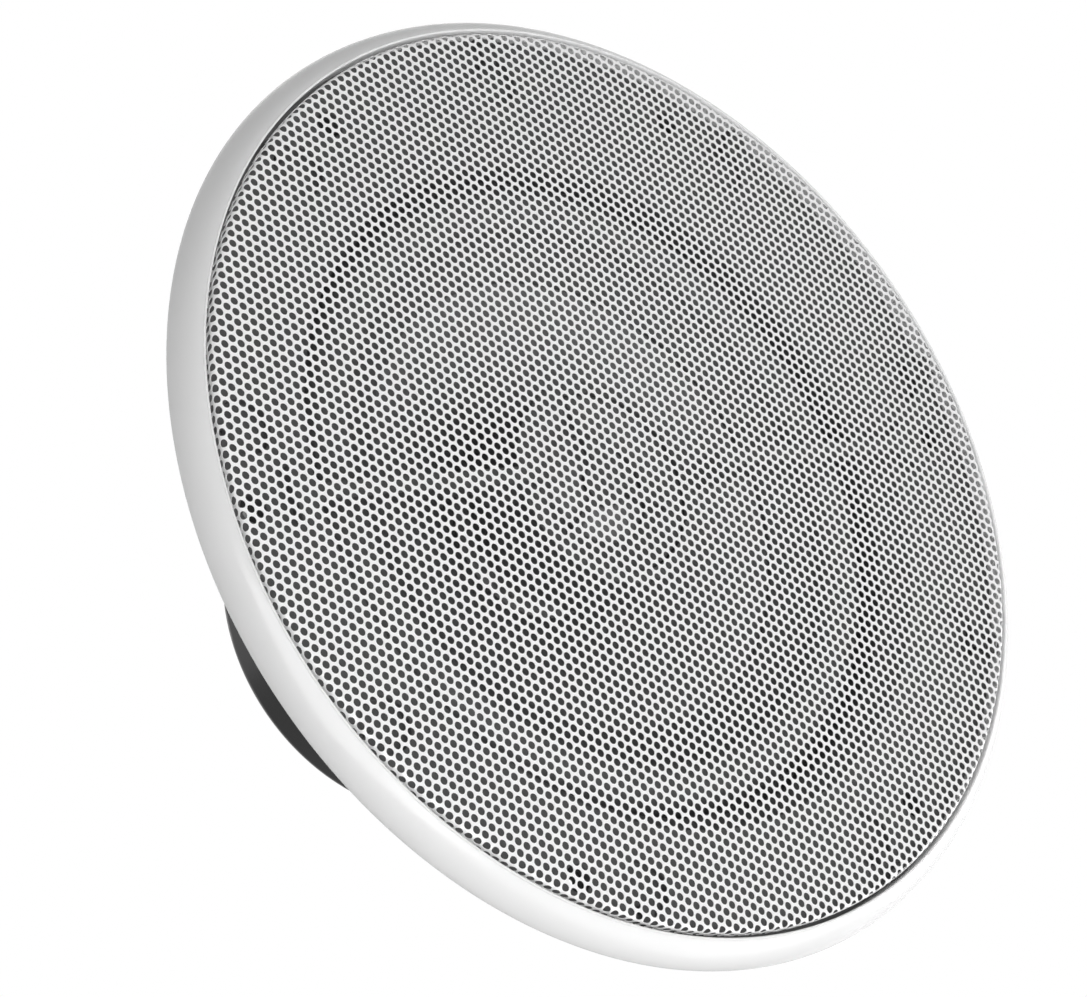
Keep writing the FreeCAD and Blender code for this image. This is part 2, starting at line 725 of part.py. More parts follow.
def make_tweeter():
    """The tweeter in the pod: flared face with a small diffuser, dome, coil, pole disc, magnet and cup."""
    face_front = s.pod_depth + s.face_step
    face_back = face_front + s.face_thickness
    face_radius = s.pod_radius - s.pod_wall - s.face_fit
    body = new_body("tweeter_faceplate")
    turn_outline(body, "face_section", [
        (s.face_throat_radius, face_back),
        (s.face_throat_radius, face_back - s.face_edge),
        (face_radius - s.face_edge, face_front),
        (face_radius, face_front),
        (face_radius, face_back),
    ])
    disc_sketch = new_sketch(body, "diffuser_sketch", "XZ_Plane", -face_front)
    draw_circle(disc_sketch, plain(0), plain(0), s.diffuser_radius)
    pad(body, disc_sketch, "diffuser", s.diffuser_thickness, to_rear=True)
    arm_sketch = new_sketch(body, "diffuser_arm_sketch", "XZ_Plane", -face_front)
    half = s.diffuser_arm_width / 2
    reach = face_radius - s.face_edge
    draw_outline(arm_sketch, box_corners(s.diffuser_radius / 2, -half, reach, half))
    arm = pad(body, arm_sketch, "diffuser_arm", s.diffuser_thickness, to_rear=True)
    repeat_round(body, [arm], "diffuser_arms", s.diffuser_arm_count)

    seat = face_back + s.dome_thickness
    crown = face_back - s.dome_height
    dome = arc_radius(s.dome_radius, s.dome_height)
    turned_body("tweeter_dome", [
        (plain(0), crown, dome),
        (s.dome_radius, face_back),
        (s.dome_edge_radius, face_back),
        (s.dome_edge_radius, seat),
        (s.dome_radius, seat, -dome),
        (plain(0), crown + s.dome_thickness),
    ])
    coil_outer = s.dome_radius + s.tweeter_coil_thickness
    coil_start = seat + s.glue_gap
    turned_body("tweeter_coil", box_corners(
        s.dome_radius, coil_start, coil_outer, coil_start + s.tweeter_coil_length))
    cup_inner = coil_outer + s.tweeter_gap
    plate_front = seat + s.tweeter_plate_drop
    magnet_front = plate_front + s.tweeter_plate_thickness
    cup_floor = magnet_front + s.tweeter_magnet_length
    plate_outer = s.dome_radius - s.tweeter_gap
    turned_body("tweeter_plate", box_corners(plain(0), plate_front, plate_outer, magnet_front))
    turned_body("tweeter_magnet", box_corners(
        plain(0), magnet_front, plate_outer - s.tweeter_magnet_inset, cup_floor))
    cup_back = cup_floor + s.tweeter_cup_floor
    turned_body("tweeter_cup", [
        (cup_inner, seat),
        (cup_inner, cup_floor),
        (plain(0), cup_floor),
        (plain(0), cup_back),
        (cup_inner + s.tweeter_cup_wall, cup_back),
        (cup_inner + s.tweeter_cup_wall, seat),
    ])


def make_terminals():
    """A terminal block on one rib, with a wide and a narrow push-on tab."""
    outer = barrel_radius - s.block_inset
    inner = s.waist_radius + s.block_waist_gap
    outer_seat = wall_back_at(outer) + s.glue_gap
    inner_seat = wall_back_at(inner) + s.glue_gap
    back = inner_seat + s.block_height / 2
    body = new_body("terminal_block")
    sketch = new_sketch(body, "block_sketch", "XY_Plane")
    draw_outline(sketch, [
        (outer, outer_seat),
        (outer, outer_seat + s.block_height),
        (inner + s.block_height, back),
        (inner, back),
        (inner, inner_seat),
    ])
    pad(body, sketch, "block", s.block_width, both_ways=True)
    spin(body, s.terminal_angle)
    tip = back + s.tab_length
    for name, width, side in (("wide", s.tab_wide, 1), ("narrow", s.tab_narrow, -1)):
        middle = s.tab_spacing * (side / 2)
        low, high = middle - width / 2, middle + width / 2
        tab = new_body(f"terminal_tab_{name}")
        tab_sketch = new_sketch(tab, f"tab_{name}_sketch", "YZ_Plane", inner + s.block_height / 2)
        draw_outline(tab_sketch, [
            (back, low),
            (tip - s.tab_chamfer, low),
            (tip, low + s.tab_chamfer),
            (tip, high - s.tab_chamfer),
            (tip - s.tab_chamfer, high),
            (back, high),
        ])
        draw_circle(tab_sketch, back + s.tab_length / 2, middle, s.tab_hole_radius)
        pad(tab, tab_sketch, f"tab_{name}", s.tab_thickness, both_ways=True)
        spin(tab, s.terminal_angle)


def make_tinsel_leads():
    """Two flexible leads that arch from the sides of the terminal block to the back of the cone."""
    middle = s.waist_radius - s.lead_center_inset
    offset = s.block_width / 2 + s.lead_radius + s.glue_gap
    half_sweep = s.lead_sweep / 2
    cone_end = middle - s.lead_bend_radius * sine(half_sweep)
    end_radius = root(cone_end * cone_end + offset * offset)
    end_depth = cone_front_at(end_radius) + s.cone_thickness + s.lead_clearance
    bend_depth = end_depth - s.lead_bend_radius * cosine(half_sweep)
    body = new_body("tinsel_leads")
    sketch = new_sketch(body, "lead_sketch", "YZ_Plane", middle)
    for side in (1, -1):
        draw_circle(sketch, bend_depth + s.lead_bend_radius, offset * side, s.lead_radius)
    draw_axis(sketch, bend_depth)
    arch = body.newObject("PartDesign::Revolution", "lead_arch")
    arch.Profile = sketch
    arch.ReferenceAxis = (sketch, ["Axis0"])
    bind(arch, "Angle", s.lead_sweep)
    arch.Midplane = True
    spin(body, s.terminal_angle)


def make_capacitor():
    """The tweeter's capacitor, a small can bonded along a rib."""
    stand_off = s.capacitor_radius + s.glue_gap
    seat_radius = barrel_radius - s.capacitor_inset
    radius = seat_radius + stand_off * wall_drop / wall_slant
    depth = wall_back_at(seat_radius) + stand_off * wall_run / wall_slant
    body = new_body("crossover_capacitor")
    sketch = new_sketch(body, "can_sketch", "XY_Plane")
    draw_circle(sketch, radius, depth, s.capacitor_radius)
    pad(body, sketch, "can", s.capacitor_length, both_ways=True)
    spin(body, s.capacitor_angle)


make_trim_ring()
make_grille()
make_gasket()
make_basket()
make_surround()
make_cone()
make_dust_cap()
make_spider()
make_coil()
make_motor()
make_magnet_cover()
make_rivets()
make_tweeter_bridge()
make_tweeter()
make_terminals()
make_tinsel_leads()
make_capacitor()
doc.recompute()

NODES = [
    "trim_ring", "grille", "gasket", "basket", "surround", "cone", "dust_cap", "spider", "coil_former",
    "voice_coil", "top_plate", "magnet", "back_plate", "magnet_cover", "motor_rivets", "tweeter_bridge",
    "tweeter_faceplate", "tweeter_dome", "tweeter_coil", "tweeter_plate", "tweeter_magnet", "tweeter_cup",
    "terminal_block", "terminal_tab_wide", "terminal_tab_narrow", "tinsel_leads", "crossover_capacitor",
]
for obj in doc.Objects:
    if "Invalid" in obj.State or "Error" in obj.State:
        raise RuntimeError(f"{obj.Name} failed: {obj.State}")
for name in NODES:
    shape = doc.getObject(name).Shape
    if shape.isNull() or not shape.isValid() or not shape.Solids:
        raise RuntimeError(f"{name} has no valid solid")
os.makedirs("parts", exist_ok=True)
for name in NODES:
    piece = doc.getObject(name)
    piece.Label = name
    piece.Shape.exportStep(f"parts/{name}.step")
    print(name, len(piece.Shape.Solids), "solids", round(piece.Shape.Volume / 1000, 3), "cm3")
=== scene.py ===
import json
import math

import bpy
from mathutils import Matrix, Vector
from mathutils.geometry import delaunay_2d_cdt


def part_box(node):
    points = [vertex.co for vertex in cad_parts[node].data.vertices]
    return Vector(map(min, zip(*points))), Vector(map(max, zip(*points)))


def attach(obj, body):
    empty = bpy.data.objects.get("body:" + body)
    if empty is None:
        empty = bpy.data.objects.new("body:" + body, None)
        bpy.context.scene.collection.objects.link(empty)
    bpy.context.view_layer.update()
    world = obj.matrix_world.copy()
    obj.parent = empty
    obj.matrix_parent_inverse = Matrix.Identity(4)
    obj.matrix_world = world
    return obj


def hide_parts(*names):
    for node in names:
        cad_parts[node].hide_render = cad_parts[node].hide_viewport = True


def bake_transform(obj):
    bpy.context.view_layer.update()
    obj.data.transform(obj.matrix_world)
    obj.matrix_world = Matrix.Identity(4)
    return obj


# A round marine speaker. Its axis runs along Y: the grille faces -Y and the magnet points to +Y.
# Lengths are in millimetres unless a comment says otherwise; MM turns them into metres.

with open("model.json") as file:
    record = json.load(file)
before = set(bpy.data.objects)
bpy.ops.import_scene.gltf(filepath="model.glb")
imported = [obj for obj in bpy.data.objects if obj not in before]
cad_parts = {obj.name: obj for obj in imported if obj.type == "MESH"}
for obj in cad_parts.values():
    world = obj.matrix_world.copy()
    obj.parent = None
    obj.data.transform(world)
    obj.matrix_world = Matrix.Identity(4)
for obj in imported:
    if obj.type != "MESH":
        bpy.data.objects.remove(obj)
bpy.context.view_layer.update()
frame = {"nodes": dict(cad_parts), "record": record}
nodes = frame["nodes"]
MM = 0.001


def node_box(name):
    """A CAD node's lowest and highest corners in millimetres."""
    low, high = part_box(name)
    return [v / MM for v in low], [v / MM for v in high]


# The photograph's view: the camera stands in front, low and to the left
CAMERA_PLACE = (-270.8, -368.7, -249.3)
CAMERA_AZIMUTH = 34.64
CAMERA_RISE = 28.15
CAMERA_LENS = 94.92
SENSOR_WIDTH = 36.0

# Light, in metres and watts: a very large soft lamp low at the right, a weaker one beyond the camera,
# another at the right side, and a soft room that is brightest behind the speaker
ROOM_DIM = 0.1
ROOM_BRIGHT = 0.75
ROOM_SIDE = (-0.05, 0.95, -0.25)
ROOM_FADE = (-0.6, 0.7)
KEY_PLACE = (0.57, -0.75, -0.52)
KEY_SIZE = (1.8, 1.5)
KEY_POWER = 11.9
FRONT_PLACE = (-0.24, -0.52, -0.34)
FRONT_SIZE = (0.6, 0.5)
FRONT_POWER = 2.4
SIDE_PLACE = (0.93, -0.08, 0.12)
SIDE_SIZE = (0.45, 0.65)
SIDE_POWER = 2.4
FLOOR_HEIGHT = -1.7
FLOOR_REACH = 6.0
FLOOR_WHITE = 0.35
FLOOR_TONES = (0.78, 0.8)
FLOOR_ROUGHNESS = (0.7, 0.8)
WHITE = (1.0, 1.0, 1.0, 1.0)

# Grille sheet: domed, rolled back at the edge to a short skirt, pierced before it was formed. Its dome is
# flatter than the CAD sheet's, so that its edge stands higher at the lip, as in the photograph.
GRILLE_LOW, GRILLE_HIGH = node_box("grille")
GRILLE_CROWN = GRILLE_LOW[1]
GRILLE_SAG = 0.45
GRILLE_RADIUS = 87.5
GRILLE_ROLL = 0.9
SKIRT_END = GRILLE_HIGH[1]
SHEET = 0.13
HOLE_PITCH = 1.755
HOLE_RADIUS = 0.725
HOLE_SIDES = 12
ROW_ANGLE = -13.82
ROW_PHASE = -0.3236
LINE_PHASE = 0.3399
GRILLE_SHIFT = (0.11, 0.07)
GRILLE_BANDS = 4
WELD_DIGITS = 3
WELD = 10 ** -WELD_DIGITS

# Trim ring: the CAD ring's section in finer steps, with its edges broken and its face one even curve
RING_TOP = node_box("trim_ring")[0][1]
RING_RADIUS = 92.47
LIP_RADIUS = 88.2
LIP_OUTER = 88.7
FACE_RADIUS = 7.4
EDGE_RISE = 1.3
BREAK_INSET = 0.06
BREAK_DEPTH = 0.12
BACK_INSET = 1.3
RING_FOOT = 2.2
RING_SCATTER = 1.5
RING_STEPS = 720
FACE_STEPS = 24
BEAD_STEPS = 5
FLANGE_FRONT = -3.0
CLIP_COUNT = 9
CLIP_ANGLE = -8.2
CLIP_WIDTH = 2.6
CLIP_ARM = 0.8
CLIP_DEPTH = 1.3
CLIP_INNER = 82.9
CLIP_OUTER = 84.1
REST_WIDTH = 4.0
REST_INNER = 86.3

# Gasket: foam that the mounting screws pierce, so its own holes are small
GASKET_LOW, GASKET_HIGH = node_box("gasket")
GASKET_RADIUS = 89.4
GASKET_INNER = 69.35
GASKET_EDGE = 0.15
GASKET_STEPS = 240
GASKET_INNER_STEPS = 180
MOUNT_COUNT = 6
MOUNT_ANGLE = 22.2
MOUNT_CIRCLE = 81.5
PIERCED_RADIUS = 0.75
PIERCED_STEPS = 24
MERGE_DISTANCE = 0.0001

# Suspension: the surround and the spider in sectors, and the two leads
SECTORS = 36
SECTOR_STEPS = 8
SURROUND_RADIUS = 63.9
SURROUND_SHEET = 0.8
SURROUND_EDGE = 0.15
ROLL_OUTER = 62.7
ROLL_INNER = 52.1
ROLL_HEIGHT = 4.3
ROLL_STEPS = 24
ROLL_INNER_STEPS = 20
LAND_RADIUS = 45.0
LAND_DEPTH = 11.47
LAND_BREAK = 0.2
LAND_RISE = 0.1
SHELF_DEPTH = 8.3
SPIDER_LOW, SPIDER_HIGH = node_box("spider")
SPIDER_INNER = 13.4
SPIDER_LAND = 35.5
SPIDER_RADIUS = 38.4
SPIDER_RIDGES = 5
SPIDER_SHEET = 0.55
SPIDER_GAP = 0.05
WAVE_STEPS = 12
LEAD_LOW, LEAD_HIGH = node_box("tinsel_leads")
LEAD_RADIUS = 0.6
LEAD_BEND = 28.2
LEAD_SWEEP = 61.8
LEAD_STEPS = 64
LEAD_SIDES = 16

# Angles above which an edge is drawn sharp, in degrees
SHEET_SHARP = 40.0
RING_SHARP = 50.0
SOFT_SHARP = 60.0


# Mesh helpers

def new_object(name, points, faces):
    """A mesh object from points in millimetres."""
    mesh = bpy.data.meshes.new(name)
    mesh.from_pydata([Vector(p) * MM for p in points], [], faces)
    mesh.update()
    obj = bpy.data.objects.new(name, mesh)
    bpy.context.scene.collection.objects.link(obj)
    return obj


def smooth(obj, angle):
    """Shades a piece smoothly, apart from edges above an angle."""
    obj.data.shade_smooth()
    obj.data.set_sharp_from_angle(angle=math.radians(angle))


def dress(obj, slot, *stands_for):
    """Gives a piece its material and hides the CAD nodes that it stands for."""
    obj.data.materials.append(MATERIALS[slot])
    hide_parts(*stands_for)


def arc(start, end, radius, steps):
    """Points from start up to but not including end; a positive radius turns left, a negative one right."""
    a, b = Vector(start), Vector(end)
    chord = b - a
    side = Vector((-chord.y, chord.x)).normalized() * math.copysign(1.0, radius)
    center = (a + b) / 2 + side * math.sqrt(max(radius ** 2 - (chord.length / 2) ** 2, 0.0))
    first = math.atan2(a.y - center.y, a.x - center.x)
    last = math.atan2(b.y - center.y, b.x - center.x)
    sweep = (last - first) % (2 * math.pi)
    if radius < 0:
        sweep -= 2 * math.pi
    points = []
    for i in range(steps):
        turn = first + sweep * i / steps
        points.append((center.x + abs(radius) * math.cos(turn), center.y + abs(radius) * math.sin(turn)))
    return points


def turned(outline, steps, start=0.0, sweep=360.0):
    """Points and faces of a closed outline of (radius, y) turned about the speaker's axis."""
    whole = sweep == 360.0
    rings = steps if whole else steps + 1
    points = []
    for i in range(rings):
        turn = math.radians(start + sweep * i / steps)
        points.extend((r * math.cos(turn), y, r * math.sin(turn)) for r, y in outline)
    count = len(outline)
    faces = []
    for i in range(steps):
        here, there = i * count, (i + 1) % rings * count
        for j in range(count):
            k = (j + 1) % count
            faces.append((here + j, here + k, there + k, there + j))
    return points, faces


def block(angle, radii, depths, width):
    """Points and faces of a box that lies along the radius at an angle."""
    turn = math.radians(angle)
    points = []
    for r in radii:
        for y in depths:
            for side in (-width / 2, width / 2):
                x = r * math.cos(turn) - side * math.sin(turn)
                z = r * math.sin(turn) + side * math.cos(turn)
                points.append((x, y, z))
    faces = [(0, 1, 3, 2), (4, 6, 7, 5), (0, 4, 5, 1), (2, 3, 7, 6), (0, 2, 6, 4), (1, 5, 7, 3)]
    return points, faces


def joined(parts):
    """One list of points and one of faces from several."""
    points, faces = [], []
    for part_points, part_faces in parts:
        first = len(points)
        points.extend(part_points)
        faces.extend(tuple(first + i for i in face) for face in part_faces)
    return points, faces


# Material helpers; each material is kept in MATERIALS under its own name

MATERIALS = {}

# Texture scales, in repeats for each metre
DRIFT_SCALE = 35.0
GLOSS_SCALE = 87.5
GRAIN_SCALE = 2200.0
WOBBLE_SCALE = 60.0
THREAD_SCALE = 400.0
BEVEL_SAMPLES = 4


def new_material(name):
    """A new material's node tree, its principled shader and the speaker's own coordinates."""
    material = bpy.data.materials.new(name)
    material.use_nodes = True
    MATERIALS[name] = material
    tree = material.node_tree
    shader = tree.nodes["Principled BSDF"]
    place = tree.nodes.new("ShaderNodeTexCoord").outputs["Object"]
    return tree, shader, place


def noise(tree, place, scale, detail=4.0):
    """Soft clouds, from about 0.3 to 0.7."""
    node = tree.nodes.new("ShaderNodeTexNoise")
    node.inputs["Scale"].default_value = scale
    node.inputs["Detail"].default_value = detail
    tree.links.new(place, node.inputs["Vector"])
    return node.outputs["Fac"]


def cells(tree, place, scale):
    """Rounded cells, dark in their middles."""
    node = tree.nodes.new("ShaderNodeTexVoronoi")
    node.inputs["Scale"].default_value = scale
    tree.links.new(place, node.inputs["Vector"])
    return node.outputs["Distance"]


def math_node(tree, operation, a, b=None):
    """One step of arithmetic on numbers or sockets."""
    node = tree.nodes.new("ShaderNodeMath")
    node.operation = operation
    for value, socket in ((a, node.inputs[0]), (b, node.inputs[1])):
        if isinstance(value, (int, float)):
            socket.default_value = value
        elif value is not None:
            tree.links.new(value, socket)
    return node.outputs["Value"]


def coordinate(tree, place, axis):
    """One coordinate of a place."""
    node = tree.nodes.new("ShaderNodeSeparateXYZ")
    tree.links.new(place, node.inputs["Vector"])
    return node.outputs[axis]


def axis_distance(tree, place):
    """The distance from the speaker's axis in metres."""
    across = math_node(tree, "POWER", coordinate(tree, place, "X"), 2.0)
    up = math_node(tree, "POWER", coordinate(tree, place, "Z"), 2.0)
    return math_node(tree, "SQRT", math_node(tree, "ADD", across, up))


def waves(tree, length, pitch):
    """A sine of a length, once per pitch in millimetres, from 0 to 1."""
    turns = math_node(tree, "MULTIPLY", length, 2 * math.pi / (pitch * MM))
    half = math_node(tree, "MULTIPLY", math_node(tree, "SINE", turns), 0.5)
    return math_node(tree, "ADD", half, 0.5)


def spread(tree, fac, low, high, start=0.3, end=0.7):
    """Maps a texture's range from start to end onto the range from low to high."""
    node = tree.nodes.new("ShaderNodeMapRange")
    node.inputs["From Min"].default_value = start
    node.inputs["From Max"].default_value = end
    node.inputs["To Min"].default_value = low
    node.inputs["To Max"].default_value = high
    tree.links.new(fac, node.inputs["Value"])
    return node.outputs["Result"]


def tint(tree, shader, fac, dark, light):
    """Colours a shader by a texture, between two colours."""
    node = tree.nodes.new("ShaderNodeMix")
    node.data_type = "RGBA"
    node.inputs["A"].default_value = (*dark, 1.0)
    node.inputs["B"].default_value = (*light, 1.0)
    tree.links.new(fac, node.inputs["Factor"])
    tree.links.new(node.outputs["Result"], shader.inputs["Base Color"])


def bump(tree, shader, height, depth, edge=0.0):
    """Adds relief of a depth in millimetres, over edges that are rounded by a radius in millimetres."""
    node = tree.nodes.new("ShaderNodeBump")
    node.inputs["Distance"].default_value = depth * MM
    tree.links.new(height, node.inputs["Height"])
    if edge:
        bevel = tree.nodes.new("ShaderNodeBevel")
        bevel.samples = BEVEL_SAMPLES
        bevel.inputs["Radius"].default_value = edge * MM
        tree.links.new(bevel.outputs["Normal"], node.inputs["Normal"])
    tree.links.new(node.outputs["Normal"], shader.inputs["Normal"])


def surface(name, dark, light, roughness, metal=0.0):
    """A material with faint colour drift and uneven gloss, still without relief."""
    tree, shader, place = new_material(name)
    tint(tree, shader, noise(tree, place, DRIFT_SCALE, detail=5.0), dark, light)
    gloss = spread(tree, noise(tree, place, GLOSS_SCALE, detail=6.0), *roughness)
    tree.links.new(gloss, shader.inputs["Roughness"])
    shader.inputs["Metallic"].default_value = metal
    return tree, shader, place


def moulded(name, dark, light, roughness, grain_scale=GRAIN_SCALE, grain_depth=0.02, edge=0.0):
    """Moulded plastic or powder coat with fine grain."""
    tree, shader, place = surface(name, dark, light, roughness)
    bump(tree, shader, noise(tree, place, grain_scale, detail=3.0), grain_depth, edge)


def ringed(name, dark, light, roughness, pitch, depth, metal=0.0, edge=0.0):
    """A surface with fine rings round the speaker's axis, as turning or moulding leaves them."""
    tree, shader, place = surface(name, dark, light, roughness, metal)
    wobble = math_node(tree, "MULTIPLY", noise(tree, place, WOBBLE_SCALE), pitch * MM / 2)
    length = math_node(tree, "ADD", axis_distance(tree, place), wobble)
    bump(tree, shader, waves(tree, length, pitch), depth, edge)


def woven(name, dark, light, roughness, pitch, depth):
    """Cloth: two sets of threads that cross, darker between them as painted shade, with tone that differs
    at random.
    """
    tree, shader, place = surface(name, dark, light, roughness)
    warp = waves(tree, coordinate(tree, place, "X"), pitch)
    weft = waves(tree, coordinate(tree, place, "Z"), pitch)
    threads = math_node(tree, "MAXIMUM", warp, weft)
    # The colour is painted shade between the threads, times tone that differs at random with the noise.
    shade = math_node(tree, "MULTIPLY", threads, noise(tree, place, THREAD_SCALE))
    tint(tree, shader, spread(tree, shade, 0.0, 1.0, start=0.2, end=0.6), dark, light)
    bump(tree, shader, threads, depth)


def wound(name, dark, light, roughness, pitch, depth):
    """A winding: turns of wire side by side along the axis."""
    tree, shader, place = surface(name, dark, light, roughness, metal=1.0)
    bump(tree, shader, waves(tree, coordinate(tree, place, "Y"), pitch), depth)


def foamed(name, dark, light, roughness, scale, depth):
    """Closed-cell foam or ground ferrite: small round pits."""
    tree, shader, place = surface(name, dark, light, roughness)
    bump(tree, shader, cells(tree, place, scale), depth)


def braided(name, dark, light, roughness, along, across, depth):
    """Fine strands that cross on a tube, darker between them as painted shade; its unwrapped coordinates
    run along and round it.
    """
    tree, shader, _ = surface(name, dark, light, roughness, metal=0.8)
    flat = tree.nodes.new("ShaderNodeTexCoord").outputs["UV"]
    u = math_node(tree, "MULTIPLY", coordinate(tree, flat, "X"), along * 2 * math.pi)
    v = math_node(tree, "MULTIPLY", coordinate(tree, flat, "Y"), across * 2 * math.pi)
    one = math_node(tree, "SINE", math_node(tree, "ADD", u, v))
    other = math_node(tree, "SINE", math_node(tree, "SUBTRACT", u, v))
    strands = spread(tree, math_node(tree, "MAXIMUM", one, other), 0.0, 1.0, start=-0.6, end=1.0)
    # The strands' relief also sets the colour: the dark colour is painted shade in the hollows between
    # strands.
    tint(tree, shader, strands, dark, light)
    bump(tree, shader, strands, depth)


def scatter(name, depth):
    """Lets light pass a depth in millimetres into a pale plastic."""
    shader = MATERIALS[name].node_tree.nodes["Principled BSDF"]
    shader.inputs["Subsurface Weight"].default_value = 1.0
    shader.inputs["Subsurface Radius"].default_value = (1.0, 1.0, 1.0)
    shader.inputs["Subsurface Scale"].default_value = depth * MM


def grey(value):
    return (value, value, value)


# Materials: two colours to drift between, the range of roughness, then the relief

moulded("white_plastic", grey(0.78), grey(0.80), (0.14, 0.18), grain_scale=500.0, grain_depth=0.0015)
scatter("white_plastic", RING_SCATTER)
moulded("white_painted_steel", grey(0.86), grey(0.89), (0.27, 0.33), grain_scale=3000.0, grain_depth=0.006)
foamed("foam_rubber", grey(0.02), grey(0.035), (0.8, 0.95), scale=1600.0, depth=0.12)
moulded("basket_plastic", grey(0.08), grey(0.10), (0.42, 0.55), edge=0.5)
ringed("black_rubber", grey(0.085), grey(0.105), (0.45, 0.6), pitch=0.9, depth=0.012)
ringed("cone_plastic", grey(0.12), grey(0.15), (0.35, 0.45), pitch=1.6, depth=0.05)
# The spider cloth's darker brown is partly painted shade between its threads.
woven("spider_cloth", (0.30, 0.17, 0.05), (0.52, 0.34, 0.13), (0.75, 0.9), pitch=0.55, depth=0.08)
moulded(
    "former_film", (0.40, 0.18, 0.03), (0.46, 0.22, 0.05), (0.25, 0.35),
    grain_scale=900.0, grain_depth=0.005)
wound("copper_wire", (0.66, 0.28, 0.13), (0.74, 0.36, 0.19), (0.22, 0.32), pitch=0.25, depth=0.06)
ringed(
    "plated_steel", (0.46, 0.47, 0.5), (0.56, 0.57, 0.58), (0.28, 0.4),
    pitch=0.35, depth=0.01, metal=1.0, edge=0.3)
foamed("ferrite", grey(0.04), (0.06, 0.06, 0.065), (0.5, 0.65), scale=2500.0, depth=0.04)
moulded("cover_plastic", grey(0.006), grey(0.01), (0.2, 0.26), grain_scale=1600.0, grain_depth=0.004)
ringed("dome_film", grey(0.14), grey(0.18), (0.36, 0.46), pitch=1.2, depth=0.01)
ringed(
    "nickel_magnet", (0.64, 0.62, 0.58), (0.72, 0.7, 0.66), (0.15, 0.25),
    pitch=0.3, depth=0.005, metal=1.0)
moulded("block_plastic", grey(0.022), grey(0.032), (0.35, 0.45), edge=0.4)
ringed(
    "tinned_brass", (0.66, 0.64, 0.58), (0.76, 0.74, 0.68), (0.22, 0.35),
    pitch=0.25, depth=0.006, metal=1.0, edge=0.15)
# The braid's dark colour is painted shade between its strands.
braided(
    "lead_braid", (0.22, 0.11, 0.06), (0.72, 0.46, 0.28), (0.3, 0.4),
    along=44.0, across=4.0, depth=0.08)
moulded(
    "capacitor_sleeve", (0.012, 0.02, 0.06), (0.018, 0.03, 0.085), (0.16, 0.24),
    grain_scale=300.0, grain_depth=0.03, edge=0.6)

for part in frame["record"]["subparts"]:
    obj = nodes[part["node"]]
    obj.data.materials.clear()
    obj.data.materials.append(MATERIALS[part["material_slot"]])


# Trim ring

def make_trim_ring():
    """The ring's section turned in fine steps; its nine clips and the rests that carry the grille are drawn
    dark, as painted shade.
    """
    bead = (LIP_OUTER - LIP_RADIUS) / 2
    foot = RING_RADIUS - RING_FOOT
    back = RING_RADIUS - BACK_INSET
    face_start = (LIP_OUTER, RING_TOP + bead)
    wall = (LIP_RADIUS + LIP_OUTER) / 2
    outline = [
        (LIP_RADIUS, FLANGE_FRONT),
        *arc((LIP_RADIUS, RING_TOP + bead), (LIP_RADIUS + bead, RING_TOP), bead, BEAD_STEPS),
        *arc((LIP_RADIUS + bead, RING_TOP), face_start, bead, BEAD_STEPS),
        *arc(face_start, (RING_RADIUS, -EDGE_RISE), FACE_RADIUS, FACE_STEPS),
        (RING_RADIUS, -EDGE_RISE),
        (RING_RADIUS - BREAK_INSET, -EDGE_RISE + BREAK_DEPTH),
        (back, 0.0),
        (foot, 0.0),
        (foot, FLANGE_FRONT),
    ]
    ring = new_object("trim_ring_moulding", *turned(outline, RING_STEPS))
    smooth(ring, RING_SHARP)
    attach(ring, "frame")
    dress(ring, "white_plastic", "trim_ring")
    parts = []
    for i in range(CLIP_COUNT):
        angle = CLIP_ANGLE + 360.0 * i / CLIP_COUNT
        arm = (FLANGE_FRONT - CLIP_ARM, FLANGE_FRONT)
        leg = (FLANGE_FRONT, FLANGE_FRONT + CLIP_DEPTH)
        parts.append(block(angle, (CLIP_INNER, wall), arm, CLIP_WIDTH))
        parts.append(block(angle, (CLIP_INNER, CLIP_OUTER), leg, CLIP_WIDTH))
        parts.append(block(angle, (REST_INNER, wall), (SKIRT_END, FLANGE_FRONT), REST_WIDTH))
    # The clips and rests belong to the white ring; the dark basket plastic paints the shade that they lie
    # in behind the grille.
    clips = new_object("trim_ring_clips_painted_shade", *joined(parts))
    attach(clips, "frame")
    dress(clips, "basket_plastic", "trim_ring")


# Gasket

